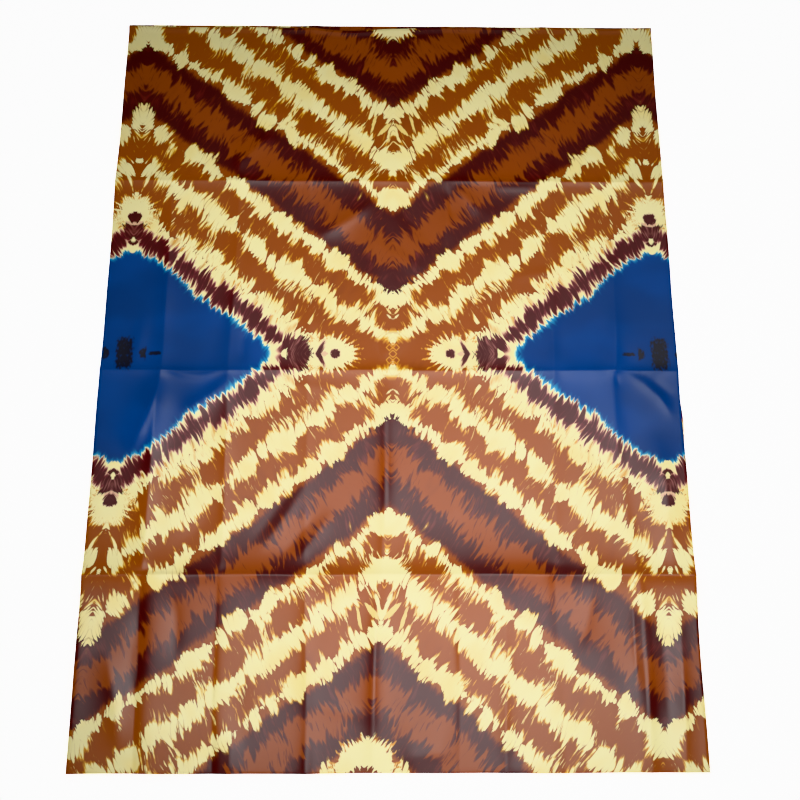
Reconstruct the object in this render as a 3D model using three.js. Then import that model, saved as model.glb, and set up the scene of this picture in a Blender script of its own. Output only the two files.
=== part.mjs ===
// A five yard length of glazed damask cotton, folded in three and laid flat on a level surface.
// The upper length lies on the two below it. The cloth turns back under itself at the near fold,
// and again at the far fold, where the upper length ends in a cut edge.
// Millimetres. +X runs across the cloth, +Y from the near fold to the far fold, +Z up. The origin
// is on the surface the cloth rests on, under the middle of its outline.

import * as THREE from 'three';

// The cloth as cut, and how it is folded up.
const CLOTH_WIDTH = 1140;
const CLOTH_LENGTH = 4572;
const LENGTHS_LAID = 3;
const LAID_LENGTH = CLOTH_LENGTH / LENGTHS_LAID;
const HALF_WIDTH = CLOTH_WIDTH / 2;
const HALF_LENGTH = LAID_LENGTH / 2;

// Each length is a wall of cloth, and each lies a little clear of the next.
const WALL = 1.0;
const LAYER_GAP = 0.3;
const STACK = 2 * WALL + LAYER_GAP;

// The near fold turns the upper length under by this much, to meet the middle length's edge.
const FOLD_RETURN = 13.5;
const FOLD_RADIUS = (WALL + LAYER_GAP) / 2;
const FOLD_STEPS = 5;

// The lower lengths' selvedges lie this far inside the upper length's.
const SELVEDGE_STEP = 1.0;
const SELVEDGE_WANDER = 0.9;
const NEAR_FOLD_WANDER = 1.3;

// Folds pressed across the cloth when it was packed in quarters, as ridges from side to side.
const CROSS_FOLDS = [
  { y: 386, rise: 5.4, spread: 60 },
  { y: -22, rise: 6.4, spread: 68 },
  { y: -415, rise: 5.0, spread: 56 },
];

// Folds pressed along the cloth when it was packed in eighths. Each fades out past its two ends.
const LENGTHWISE_FOLDS = [
  { x: -448, rise: 2.8, spread: 26, far: 200, near: -790 },
  { x: -310, rise: 1.8, spread: 30, far: 400, near: -790 },
  { x: -161, rise: 1.2, spread: 32, far: 60, near: -720 },
  { x: -14, rise: 2.2, spread: 24, far: 320, near: -790 },
  { x: 128, rise: 1.9, spread: 26, far: 260, near: -640 },
  { x: 285, rise: 1.7, spread: 32, far: 400, near: -790 },
  { x: 455, rise: 2.8, spread: 28, far: 220, near: -740 },
];
const FADE = 90;

// Slack folds that run off at a slant from where two pressed folds cross.
const SLACK_FOLDS = [
  { x: -448, y: -30, run: 210, turn: -116, rise: 3.0, spread: 34 },
  { x: -268, y: -30, run: 130, turn: -128, rise: 1.6, spread: 26 },
  { x: 355, y: -30, run: 150, turn: -52, rise: 1.6, spread: 26 },
  { x: 450, y: -30, run: 140, turn: -44, rise: 1.8, spread: 26 },
];

// How far the upper length's cut edge lies back from the far fold, across the cloth.
const CUT_EDGE = [
  { x: -570, back: 2.0 },
  { x: -480, back: 3.6 },
  { x: -300, back: 1.6 },
  { x: -90, back: 10.5 },
  { x: 20, back: 7.0 },
  { x: 150, back: 2.2 },
  { x: 470, back: 4.4 },
  { x: 570, back: 2.0 },
];

// Where the lower lengths stand out past the upper length's right selvedge.
const PEEP = { y: -125, out: 3.2, spread: 42 };

// The edge of the two lower lengths, from the top face round to the flat underside: the height of
// each ring where the cloth lies flat, its share of a fold's rise, and how far it lies inside the
// outline at the selvedges, at the near end and at the far fold. The middle length stops short of
// the near fold's return, the bottom length's cut end shows under it, and the far fold is round.
const EDGE_RINGS = [
  { z: STACK, lift: 1.0, side: 0.5, near: 14.5, far: 1.2 },
  { z: STACK - WALL / 2, lift: 0.9, side: 0.0, near: 14.0, far: 0.3 },
  { z: WALL + LAYER_GAP, lift: 0.7, side: 0.5, near: 14.3, far: 0.0 },
  { z: WALL + LAYER_GAP / 2, lift: 0.6, side: 2.0, near: 15.0, far: 0.0 },
  { z: WALL, lift: 0.5, side: 0.5, near: 9.5, far: 0.1 },
  { z: WALL / 2, lift: 0.25, side: 0.0, near: 9.0, far: 0.4 },
  { z: 0, lift: 0.0, side: 0.5, near: 9.5, far: 1.2 },
];

// Where the mesh's columns and rows lie: on each fold's crest, on its flanks, and evenly between.
const FLANKS = [0.55, 1.6];
const COLUMN_PITCH = 90;
const ROW_PITCH = 76;
const EDGE_BAND = 24;

const smooth = (t) => {
  const s = THREE.MathUtils.clamp(t, 0, 1);
  return s * s * (3 - 2 * s);
};

// A pressed fold's section: a sharp crest with flanks that flatten out.
const crest = (distance, fold) => {
  const round = 0.12 * fold.spread;
  return fold.rise * Math.exp((round - Math.hypot(distance, round)) / fold.spread);
};

const crossRise = (y) => CROSS_FOLDS.reduce((sum, fold) => sum + crest(y - fold.y, fold), 0);

const lengthwiseRise = (x, y) => LENGTHWISE_FOLDS.reduce((sum, fold) => {
  const shown = smooth((fold.far - y) / FADE) * smooth((y - fold.near) / FADE);
  return sum + shown * crest(x - fold.x, fold);
}, 0);

const slackRise = (x, y) => SLACK_FOLDS.reduce((sum, fold) => {
  const turn = THREE.MathUtils.degToRad(fold.turn);
  const along = (x - fold.x) * Math.cos(turn) + (y - fold.y) * Math.sin(turn);
  const aside = (y - fold.y) * Math.cos(turn) - (x - fold.x) * Math.sin(turn);
  const shown = smooth(along / fold.spread) * smooth((fold.run - along) / (fold.run / 2));
  return sum + shown * crest(aside, fold);
}, 0);

// Height of the cloth's folds above where it lies flat.
const foldRise = (x, y) => crossRise(y) + lengthwiseRise(x, y) + slackRise(x, y);

// The cut edge's setback at x, eased from row to row of its table.
const cutEdgeBack = (x) => {
  const next = CUT_EDGE.findIndex((row) => row.x >= x);
  if (next <= 0) {
    return next === 0 ? CUT_EDGE[0].back : CUT_EDGE[CUT_EDGE.length - 1].back;
  }
  const [from, to] = [CUT_EDGE[next - 1], CUT_EDGE[next]];
  return THREE.MathUtils.lerp(from.back, to.back, smooth((x - from.x) / (to.x - from.x)));
};

const wander = (along, phase) => (Math.sin(along / 83 + phase) + Math.sin(along / 37 + 2 * phase)) / 2;

// The outline of the upper length: its two selvedges, the near fold and the cut edge.
const leftSelvedge = (y) => -HALF_WIDTH + SELVEDGE_WANDER * (1 + wander(y, 0.4));
const rightSelvedge = (y) => HALF_WIDTH - SELVEDGE_WANDER * (1 + wander(y, 2.1));
const nearFold = (x) => -HALF_LENGTH + NEAR_FOLD_WANDER * (1 + wander(x, 1.2)) / 2;
const cutEdge = (x) => HALF_LENGTH - cutEdgeBack(x);

// The outline of the lower lengths at each edge.
const peep = (y) => (PEEP.out + SELVEDGE_STEP) * Math.exp(-(((y - PEEP.y) / PEEP.spread) ** 2));
const lowerLeft = (y) => leftSelvedge(y) + SELVEDGE_STEP;
const lowerRight = (y) => rightSelvedge(y) - SELVEDGE_STEP + peep(y);
const farFold = (x) => HALF_LENGTH - 0.4 * (1 + wander(x, 3.3));

// Stations across a stretch from low to high: fold crests, their flanks, and even steps between.
const stations = (low, high, folds, key, pitch) => {
  const held = [low, low + EDGE_BAND, high - EDGE_BAND, high];
  for (const fold of folds) {
    const steps = FLANKS.flatMap((flank) => [-flank * fold.spread, flank * fold.spread]);
    held.push(...[0, ...steps].map((step) => fold[key] + step));
  }
  const inside = held.filter((at) => at === low || at === high
    || (at >= low + EDGE_BAND && at <= high - EDGE_BAND)).sort((a, b) => a - b);
  const placed = [low];
  for (const at of inside.slice(1)) {
    const last = placed[placed.length - 1];
    const spaces = Math.max(1, Math.round((at - last) / pitch));
    for (let k = 1; k <= spaces; k += 1) {
      placed.push(last + (at - last) * (k / spaces));
    }
  }
  return placed;
};

const COLUMNS = stations(-HALF_WIDTH, HALF_WIDTH, LENGTHWISE_FOLDS, 'x', COLUMN_PITCH);
const ROWS = stations(-HALF_LENGTH, HALF_LENGTH, CROSS_FOLDS, 'y', ROW_PITCH);

// Collects points and faces into one closed mesh.
class Skin {
  constructor() {
    this.points = [];
    this.faces = [];
  }

  point(x, y, z) {
    this.points.push(x, y, z);
    return this.points.length / 3 - 1;
  }

  quad(a, b, c, d) {
    this.faces.push(a, b, c, a, c, d);
  }

  geometry() {
    const shape = new THREE.BufferGeometry();
    shape.setAttribute('position', new THREE.Float32BufferAttribute(this.points, 3));
    shape.setIndex(this.faces);
    shape.computeVertexNormals();
    return shape;
  }
}

// The upper length as a path from its cut edge to the near fold, round it, and back under: for
// each column, the middle of the wall and the direction its outer face looks in.
const upperPath = (x) => {
  const level = STACK + LAYER_GAP + WALL / 2;
  const near = nearFold(x) + FOLD_RADIUS + WALL / 2;
  const steps = [];
  for (const row of [...ROWS].reverse().slice(0, -1)) {
    const y = Math.min(row, cutEdge(x));
    steps.push({ y, z: level + foldRise(x, y), out: [0, 1] });
  }
  for (let k = 0; k <= FOLD_STEPS; k += 1) {
    const turn = Math.PI * (k / FOLD_STEPS);
    const out = [-Math.sin(turn), Math.cos(turn)];
    const z = level + foldRise(x, near) - FOLD_RADIUS * (1 - out[1]);
    steps.push({ y: near + FOLD_RADIUS * out[0], z, out });
  }
  const back = -HALF_LENGTH + FOLD_RETURN;
  steps.push({ y: back, z: level - 2 * FOLD_RADIUS + foldRise(x, back), out: [0, -1] });
  return steps;
};

// The upper length: a wall of cloth with the folds' form, turned under at the near fold.
const upperLength = () => {
  const skin = new Skin();
  const columns = COLUMNS.map((column, i) => upperPath(column).map((step) => {
    let x = column;
    if (i === 0) {
      x = leftSelvedge(step.y);
    } else if (i === COLUMNS.length - 1) {
      x = rightSelvedge(step.y);
    }
    const [outY, outZ] = step.out.map((part) => part * (WALL / 2));
    return {
      outer: skin.point(x, step.y + outY, step.z + outZ),
      inner: skin.point(x, step.y - outY, step.z - outZ),
    };
  }));
  for (let i = 0; i + 1 < columns.length; i += 1) {
    const [left, right] = [columns[i], columns[i + 1]];
    const last = left.length - 1;
    for (let k = 0; k < last; k += 1) {
      skin.quad(left[k].outer, left[k + 1].outer, right[k + 1].outer, right[k].outer);
      skin.quad(left[k].inner, right[k].inner, right[k + 1].inner, left[k + 1].inner);
    }
    skin.quad(left[0].outer, right[0].outer, right[0].inner, left[0].inner);
    skin.quad(left[last].outer, left[last].inner, right[last].inner, right[last].outer);
  }
  const [leftEdge, rightEdge] = [columns[0], columns[columns.length - 1]];
  for (let k = 0; k + 1 < leftEdge.length; k += 1) {
    skin.quad(leftEdge[k].outer, leftEdge[k].inner, leftEdge[k + 1].inner, leftEdge[k + 1].outer);
    skin.quad(rightEdge[k].outer, rightEdge[k + 1].outer, rightEdge[k + 1].inner, rightEdge[k].inner);
  }
  return skin.geometry();
};

// A point of the lower lengths' outline or top face, for a column, a row and an edge ring.
const lowerPoint = (skin, i, j, ring) => {
  let [x, y] = [COLUMNS[i], ROWS[j]];
  if (i === 0) {
    x = lowerLeft(y) + ring.side;
  } else if (i === COLUMNS.length - 1) {
    x = lowerRight(y) - ring.side;
  }
  if (j === 0) {
    y = -HALF_LENGTH + ring.near;
  } else if (j === ROWS.length - 1) {
    y = farFold(x) - ring.far;
  }
  return skin.point(x, y, ring.z + ring.lift * foldRise(x, y));
};

// The two lower lengths as one solid: the folds' form on top, layered edges, and a flat underside.
const lowerLengths = () => {
  const skin = new Skin();
  const [lastColumn, lastRow] = [COLUMNS.length - 1, ROWS.length - 1];
  const top = COLUMNS.map((_, i) => ROWS.map((__, j) => lowerPoint(skin, i, j, EDGE_RINGS[0])));
  for (let i = 0; i < lastColumn; i += 1) {
    for (let j = 0; j < lastRow; j += 1) {
      skin.quad(top[i][j + 1], top[i][j], top[i + 1][j], top[i + 1][j + 1]);
    }
  }
  const round = [];
  for (let i = 0; i < lastColumn; i += 1) {
    round.push([i, 0]);
  }
  for (let j = 0; j < lastRow; j += 1) {
    round.push([lastColumn, j]);
  }
  for (let i = lastColumn; i > 0; i -= 1) {
    round.push([i, lastRow]);
  }
  for (let j = lastRow; j > 0; j -= 1) {
    round.push([0, j]);
  }
  let above = round.map(([i, j]) => top[i][j]);
  for (const ring of EDGE_RINGS.slice(1)) {
    const below = round.map(([i, j]) => lowerPoint(skin, i, j, ring));
    below.forEach((_, k) => {
      const next = (k + 1) % round.length;
      skin.quad(above[k], below[k], below[next], above[next]);
    });
    above = below;
  }
  const middle = skin.point(0, 0, 0);
  above.forEach((corner, k) => {
    skin.faces.push(middle, above[(k + 1) % above.length], corner);
  });
  return skin.geometry();
};

const glazedCloth = (name, geometry, colour) => {
  const finish = new THREE.MeshStandardMaterial({ color: colour, roughness: 0.42, metalness: 0 });
  const mesh = new THREE.Mesh(geometry, finish);
  mesh.name = name;
  return mesh;
};

const cloth = new THREE.Group();
cloth.add(glazedCloth('top_layer', upperLength(), 0xb98a55));
cloth.add(glazedCloth('hidden_layers', lowerLengths(), 0x7d4a2c));

export default cloth;
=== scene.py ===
# A five yard length of glazed damask cotton, printed in tie-dye style with nested diamonds, folded
# in three and laid flat. The upper length shows whole, and the two below it show at its edges.
# Metres, in the frame's axes: +X across the cloth, +Y from the near fold to the far fold, +Z up.

import math

import bpy
import numpy as np
from mathutils import Euler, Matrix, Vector


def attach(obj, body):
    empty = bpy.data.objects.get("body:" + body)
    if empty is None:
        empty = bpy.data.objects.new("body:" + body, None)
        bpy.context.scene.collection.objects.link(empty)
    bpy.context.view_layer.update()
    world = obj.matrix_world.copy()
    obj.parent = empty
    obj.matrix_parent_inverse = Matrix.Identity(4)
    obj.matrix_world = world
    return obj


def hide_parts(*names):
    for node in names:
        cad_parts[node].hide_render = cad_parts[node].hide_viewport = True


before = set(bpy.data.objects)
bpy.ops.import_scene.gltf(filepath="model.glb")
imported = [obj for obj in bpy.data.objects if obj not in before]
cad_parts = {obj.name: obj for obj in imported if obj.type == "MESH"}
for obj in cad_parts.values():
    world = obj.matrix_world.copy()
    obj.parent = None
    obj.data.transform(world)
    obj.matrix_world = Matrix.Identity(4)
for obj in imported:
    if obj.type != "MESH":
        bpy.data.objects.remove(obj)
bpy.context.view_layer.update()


# ---- Camera ---------------------------------------------------------------------------------
# Held above the near half of the cloth and tipped a little towards the far fold, as someone
# standing at the near fold would look down on a cloth laid out at their feet.

CAMERA_PLACE = Vector((0.0019, -0.5028, 1.6811))
CAMERA_TURN = Euler((0.2462, -0.0103, -0.0009))
CAMERA_LENS = 39.86
CAMERA_SENSOR = 36.0

camera_data = bpy.data.cameras.new("camera")
camera_data.lens = CAMERA_LENS
camera_data.sensor_width = CAMERA_SENSOR
camera = bpy.data.objects.new("camera", camera_data)
camera.location = CAMERA_PLACE
camera.rotation_euler = CAMERA_TURN
bpy.context.scene.collection.objects.link(camera)
bpy.context.scene.camera = camera
bpy.context.scene.view_settings.view_transform = "Khronos PBR Neutral"


# ---- Floor and light ------------------------------------------------------------------------
# A plain pale floor under soft studio light: two tilted panels above the cloth, whose sheen the
# glazed cotton shows, one past its far fold, a small lamp out past its near fold, and an even
# fill from the walls of a pale room.

FLOOR_SIZE = 14.0
FLOOR_DROP = 0.0002
FLOOR_WHITE = 0.93
FLOOR_ROUGHNESS = 0.9
FLOOR_LIFT = 2.2
PANEL_SIZE = (3.4, 2.05)
PANEL_PLACE = (0.54, -0.22, 2.2)
PANEL_TURNS = [math.radians(-7), math.radians(13)]
PANEL_POWERS = [6.2, 7.8]
PANEL_SPREAD = math.radians(50)
BACK_SIZE = (3.4, 1.10)
BACK_PLACE = (0.60, 1.38, 2.2)
BACK_POWER = 10.0
KEY_SIZE = (0.80, 0.80)
KEY_PLACE = Vector((0.30, -2.10, 2.00))
KEY_AIM = Vector((0.05, -0.16, 0.0))
KEY_POWER = 3.6
KEY_SPREAD = math.radians(31)
WALLS_GLOW = 0.90
CEILING_GLOW = 0.03
WALLS_TOP = 0.60

floor_mesh = bpy.data.meshes.new("floor")
half_floor = FLOOR_SIZE / 2
floor_mesh.from_pydata(
    [
        (-half_floor, -half_floor, -FLOOR_DROP),
        (half_floor, -half_floor, -FLOOR_DROP),
        (half_floor, half_floor, -FLOOR_DROP),
        (-half_floor, half_floor, -FLOOR_DROP),
    ],
    [],
    [(0, 1, 2, 3)],
)
floor = bpy.data.objects.new("floor", floor_mesh)
bpy.context.scene.collection.objects.link(floor)
floor_paint = bpy.data.materials.new("pale_floor")
floor_paint.use_nodes = True
floor_shader = floor_paint.node_tree.nodes["Principled BSDF"]
floor_shader.inputs["Base Color"].default_value = (FLOOR_WHITE, FLOOR_WHITE, FLOOR_WHITE, 1)
floor_shader.inputs["Roughness"].default_value = FLOOR_ROUGHNESS
floor_shader.inputs["Specular IOR Level"].default_value = 0.0
floor_shader.inputs["Emission Color"].default_value = (1, 1, 1, 1)
floor_shader.inputs["Emission Strength"].default_value = FLOOR_LIFT
floor_mesh.materials.append(floor_paint)


def soft_light(name, place, size, power, turn=(0, 0, 0), spread=math.pi):
    """A soft rectangle of light, turned from facing straight down."""
    data = bpy.data.lights.new(name, "AREA")
    data.shape = "RECTANGLE"
    data.size, data.size_y = size
    data.energy = power
    data.spread = spread
    light = bpy.data.objects.new(name, data)
    light.location = place
    light.rotation_euler = turn
    bpy.context.scene.collection.objects.link(light)


for turn, power in zip(PANEL_TURNS, PANEL_POWERS):
    soft_light("panel", PANEL_PLACE, PANEL_SIZE, power, (0, turn, 0), PANEL_SPREAD)
soft_light("back_panel", BACK_PLACE, BACK_SIZE, BACK_POWER)
key_turn = (KEY_AIM - KEY_PLACE).to_track_quat("-Z", "Y").to_euler()
soft_light("key", KEY_PLACE, KEY_SIZE, KEY_POWER, key_turn, KEY_SPREAD)

world = bpy.data.worlds.new("pale_room")
world.use_nodes = True
world_nodes = world.node_tree.nodes
world_links = world.node_tree.links
look_direction = world_nodes.new("ShaderNodeTexCoord")
look_height = world_nodes.new("ShaderNodeSeparateXYZ")
wall_to_ceiling = world_nodes.new("ShaderNodeMapRange")
wall_to_ceiling.interpolation_type = "SMOOTHSTEP"
wall_to_ceiling.inputs["From Min"].default_value = 0.0
wall_to_ceiling.inputs["From Max"].default_value = WALLS_TOP
wall_to_ceiling.inputs["To Min"].default_value = WALLS_GLOW
wall_to_ceiling.inputs["To Max"].default_value = CEILING_GLOW
world_links.new(look_direction.outputs["Generated"], look_height.inputs[0])
world_links.new(look_height.outputs["Z"], wall_to_ceiling.inputs["Value"])
world_links.new(wall_to_ceiling.outputs["Result"], world_nodes["Background"].inputs["Strength"])
bpy.context.scene.world = world


# ---- The upper length -----------------------------------------------------------------------
# The first third of the piece, printed side up, of glazed damask cotton. It was stored pressed
# in quarters and eighths, so creases run across and along it, with slack folds off their
# crossings. Its far end is the cut edge, and at its near end it turns back under itself.

# The cloth as cut, and how it is folded up.
CLOTH_WIDTH = 1.140
CLOTH_LENGTH = 4.572
LENGTHS_LAID = 3
LAID_LENGTH = CLOTH_LENGTH / LENGTHS_LAID
HALF_WIDTH = CLOTH_WIDTH / 2
HALF_LENGTH = LAID_LENGTH / 2
THICKNESS = 0.0006
UPPER_FACE = 0.0036
UPPER_LEVEL = UPPER_FACE - THICKNESS / 2
MIDDLE_LEVEL = 0.0018
FOLD_RETURN = 0.0135
FOLD_STEPS = 8
SELVEDGE_WANDER = 0.0009
NEAR_FOLD_WANDER = 0.0013
EDGE_ROUND = 0.0003

# Creases across the cloth: how high each crest stands, how far it spreads, how many times as far
# it spreads on its near side, and the sharper ridge that pressing left, steeper on its far side.
CROSS_FOLDS = [
    dict(y=0.386, rise=0.0046, spread=0.060, near=1.0, press=0.0017),
    dict(y=-0.022, rise=0.0028, spread=0.075, near=2.6, press=0.0019),
    dict(y=-0.417, rise=0.0092, spread=0.042, near=1.4, press=0.0018),
]
PRESS_SPREAD = 0.0090
PRESS_STEEPER = 1.5

# Creases along the cloth, from their far ends to their near ends: y, x and height. Where a crease
# turns the other way its height is below zero: there it is a valley, with the cloth puffed up on
# the side towards the cloth's middle.
LENGTHWISE_FOLDS = [
    dict(
        spread=0.0168,
        path=[
            (0.400, -0.452, 0.0000), (0.330, -0.450, 0.0016), (0.100, -0.448, 0.0030),
            (-0.010, -0.448, 0.0026), (-0.210, -0.458, 0.0040), (-0.395, -0.458, 0.0034),
            (-0.425, -0.458, -0.0034), (-0.600, -0.455, -0.0056), (-0.762, -0.452, -0.0050),
        ],
    ),
    dict(
        spread=0.0148,
        path=[
            (0.500, -0.312, 0.0000), (0.380, -0.312, 0.0020), (0.280, -0.310, 0.0016),
            (0.000, -0.318, 0.0022), (-0.210, -0.314, 0.0024), (-0.395, -0.313, 0.0020),
            (-0.430, -0.318, -0.0014), (-0.600, -0.318, -0.0044), (-0.762, -0.311, -0.0054),
        ],
    ),
    dict(
        spread=0.0134,
        path=[
            (0.400, -0.166, 0.0026), (0.300, -0.164, 0.0005), (0.000, -0.161, 0.0009),
            (-0.400, -0.158, 0.0014), (-0.620, -0.149, 0.0035), (-0.762, -0.146, 0.0038),
        ],
    ),
    dict(
        spread=0.0148,
        path=[
            (0.360, -0.034, 0.0000), (0.250, -0.034, 0.0019), (0.080, -0.032, 0.0019),
            (0.000, -0.020, 0.0009), (-0.110, -0.008, 0.0043), (-0.300, -0.007, 0.0051),
            (-0.400, -0.013, 0.0023), (-0.500, -0.026, 0.0038), (-0.600, -0.028, 0.0058),
            (-0.700, -0.030, 0.0047), (-0.762, -0.030, 0.0016),
        ],
    ),
    dict(
        spread=0.0161,
        path=[
            (0.400, 0.118, 0.0012), (0.340, 0.116, 0.0034), (0.240, 0.114, 0.0016),
            (0.000, 0.114, 0.0013), (-0.300, 0.124, 0.0006), (-0.400, 0.126, -0.0020),
            (-0.480, 0.128, -0.0050), (-0.620, 0.127, -0.0042), (-0.762, 0.124, -0.0030),
        ],
    ),
    dict(
        spread=0.0134,
        path=[
            (-0.440, 0.214, 0.0000), (-0.560, 0.214, 0.0018), (-0.680, 0.208, 0.0031),
            (-0.762, 0.207, 0.0030),
        ],
    ),
    dict(
        spread=0.0148,
        path=[
            (0.400, 0.331, 0.0022), (0.200, 0.328, 0.0020), (0.000, 0.323, 0.0028),
            (-0.060, 0.321, 0.0014), (-0.390, 0.312, 0.0008), (-0.425, 0.304, -0.0040),
            (-0.500, 0.305, -0.0028), (-0.600, 0.314, -0.0008), (-0.762, 0.312, -0.0020),
        ],
    ),
    dict(
        spread=0.0161,
        path=[
            (0.240, 0.452, 0.0000), (0.160, 0.451, 0.0026), (0.000, 0.446, 0.0039),
            (-0.050, 0.436, 0.0026), (-0.140, 0.436, 0.0030), (-0.210, 0.440, 0.0008),
            (-0.420, 0.460, 0.0031), (-0.500, 0.466, 0.0053), (-0.660, 0.466, 0.0061),
            (-0.762, 0.466, 0.0035),
        ],
    ),
    dict(
        spread=0.0161,
        path=[
            (-0.450, 0.535, 0.0000), (-0.560, 0.533, 0.0038), (-0.660, 0.530, 0.0038),
            (-0.762, 0.528, 0.0018),
        ],
    ),
]

PUFF_REACH = 0.060

# Slack folds, most of them off the creases' crossings, from one end to the other, with the bow
# of each along its way. Those below zero are troughs.
SLACK_FOLDS = [
    dict(at=(-0.330, 0.400), to=(-0.240, 0.505), bow=0.004, rise=0.0034, spread=0.017),
    dict(at=(-0.015, 0.356), to=(-0.165, 0.252), bow=0.006, rise=0.0040, spread=0.019),
    dict(at=(0.112, 0.382), to=(0.128, 0.290), bow=0.003, rise=-0.0021, spread=0.009),
    dict(at=(0.134, 0.376), to=(0.186, 0.306), bow=0.004, rise=0.0023, spread=0.011),
    dict(at=(0.200, 0.372), to=(0.320, 0.372), bow=0.000, rise=0.0017, spread=0.012),
    dict(at=(-0.446, -0.016), to=(-0.318, -0.020), bow=-0.016, rise=0.0023, spread=0.008),
    dict(at=(-0.291, -0.014), to=(-0.287, 0.070), bow=0.002, rise=-0.0017, spread=0.008),
    dict(at=(-0.446, -0.030), to=(-0.506, -0.196), bow=0.007, rise=0.0080, spread=0.018),
    dict(at=(-0.306, -0.028), to=(-0.415, -0.108), bow=0.010, rise=0.0042, spread=0.015),
    dict(at=(0.326, -0.026), to=(0.436, -0.030), bow=0.004, rise=0.0027, spread=0.020),
    dict(at=(0.460, -0.024), to=(0.556, -0.124), bow=0.013, rise=0.0038, spread=0.009),
    dict(at=(0.441, -0.022), to=(0.450, -0.056), bow=0.000, rise=-0.0013, spread=0.005),
    dict(at=(0.500, -0.036), to=(0.562, -0.090), bow=0.006, rise=-0.0023, spread=0.014),
    dict(at=(-0.104, -0.290), to=(-0.184, -0.402), bow=0.004, rise=0.0022, spread=0.013),
    dict(at=(-0.136, -0.296), to=(-0.218, -0.400), bow=0.003, rise=-0.0014, spread=0.013),
    dict(at=(-0.150, -0.225), to=(-0.250, -0.382), bow=0.006, rise=0.0024, spread=0.014),
    dict(at=(-0.178, -0.232), to=(-0.272, -0.374), bow=0.005, rise=-0.0012, spread=0.012),
    dict(at=(0.512, -0.130), to=(0.530, -0.440), bow=0.004, rise=0.0062, spread=0.042),
    dict(at=(-0.460, -0.440), to=(-0.462, -0.660), bow=0.000, rise=-0.0030, spread=0.014),
    dict(at=(-0.400, -0.440), to=(-0.392, -0.580), bow=0.005, rise=-0.0023, spread=0.016),
    dict(at=(-0.279, -0.690), to=(-0.280, -0.775), bow=0.000, rise=0.0026, spread=0.009),
    dict(at=(-0.520, -0.540), to=(-0.480, -0.740), bow=0.008, rise=0.0034, spread=0.022),
    dict(at=(-0.565, -0.380), to=(-0.565, -0.800), bow=0.000, rise=0.0038, spread=0.045),
    dict(at=(0.010, -0.742), to=(0.120, -0.728), bow=0.006, rise=0.0030, spread=0.034),
    dict(at=(0.448, -0.440), to=(0.450, -0.640), bow=0.000, rise=-0.0021, spread=0.008),
    dict(at=(0.500, -0.480), to=(0.504, -0.700), bow=0.003, rise=-0.0027, spread=0.013),
    dict(at=(0.376, -0.430), to=(0.340, -0.560), bow=0.005, rise=0.0027, spread=0.018),
]
SLACK_FADE = 0.35

# Shallow buckles all over, where the pressed layers never lay quite flat.
BUCKLE_SEED = 4
BUCKLES = 150
BUCKLE_RISE = 0.00055
BUCKLE_LONG = (0.030, 0.090)
BUCKLE_WIDE = (0.010, 0.026)
BUCKLE_TURN = 0.7

# How far the cut edge lies back from the far fold, across the cloth.
CUT_EDGE = [
    dict(x=-0.570, back=0.0040),
    dict(x=-0.470, back=0.0085),
    dict(x=-0.300, back=0.0070),
    dict(x=-0.190, back=0.0085),
    dict(x=-0.090, back=0.0150),
    dict(x=0.010, back=0.0095),
    dict(x=0.110, back=0.0045),
    dict(x=0.470, back=0.0055),
    dict(x=0.570, back=0.0030),
]
CUT_EDGE_REACH = 0.060

# How far the cut edge lifts off the cloth below it, over the last of the upper length.
CUT_LIFT = 0.0022
CUT_LIFT_REACH = 0.016

# How sharp the creases' crests are, how far creases stray, and how uneven their heights are.
CREST_POINT = 0.12
CREST_ROUND = 0.0060
CREASE_WANDER = 0.0010
LONG_WAVE = 0.083
SHORT_WAVE = 0.037
PHASE_STEP = 9
HEIGHT_PHASE_STEP = 5
HEIGHT_PACE = 1.7
HEIGHT_UNEVEN = 0.25
PRESS_UNEVEN = 0.3

# The grid's steps, at a crease and away from it.
COLUMN_STEPS = (0.0026, 0.0066)
ROW_STEPS = (0.0022, 0.0066)
STEP_REACH = 0.022


def smooth(t):
    t = np.clip(t, 0.0, 1.0)
    return t * t * (3 - 2 * t)


def wander(along, phase):
    """An uneven wave along an edge or a crease, from -1 to 1."""
    return (np.sin(along / LONG_WAVE + phase) + np.sin(along / SHORT_WAVE + 2 * phase)) / 2


def crest(distance, rise, spread):
    """A pressed fold's section: a sharp crest with flanks that flatten out."""
    point = np.minimum(CREST_POINT * spread, CREST_ROUND)
    return rise * np.exp((point - np.hypot(distance, point)) / spread)


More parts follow.
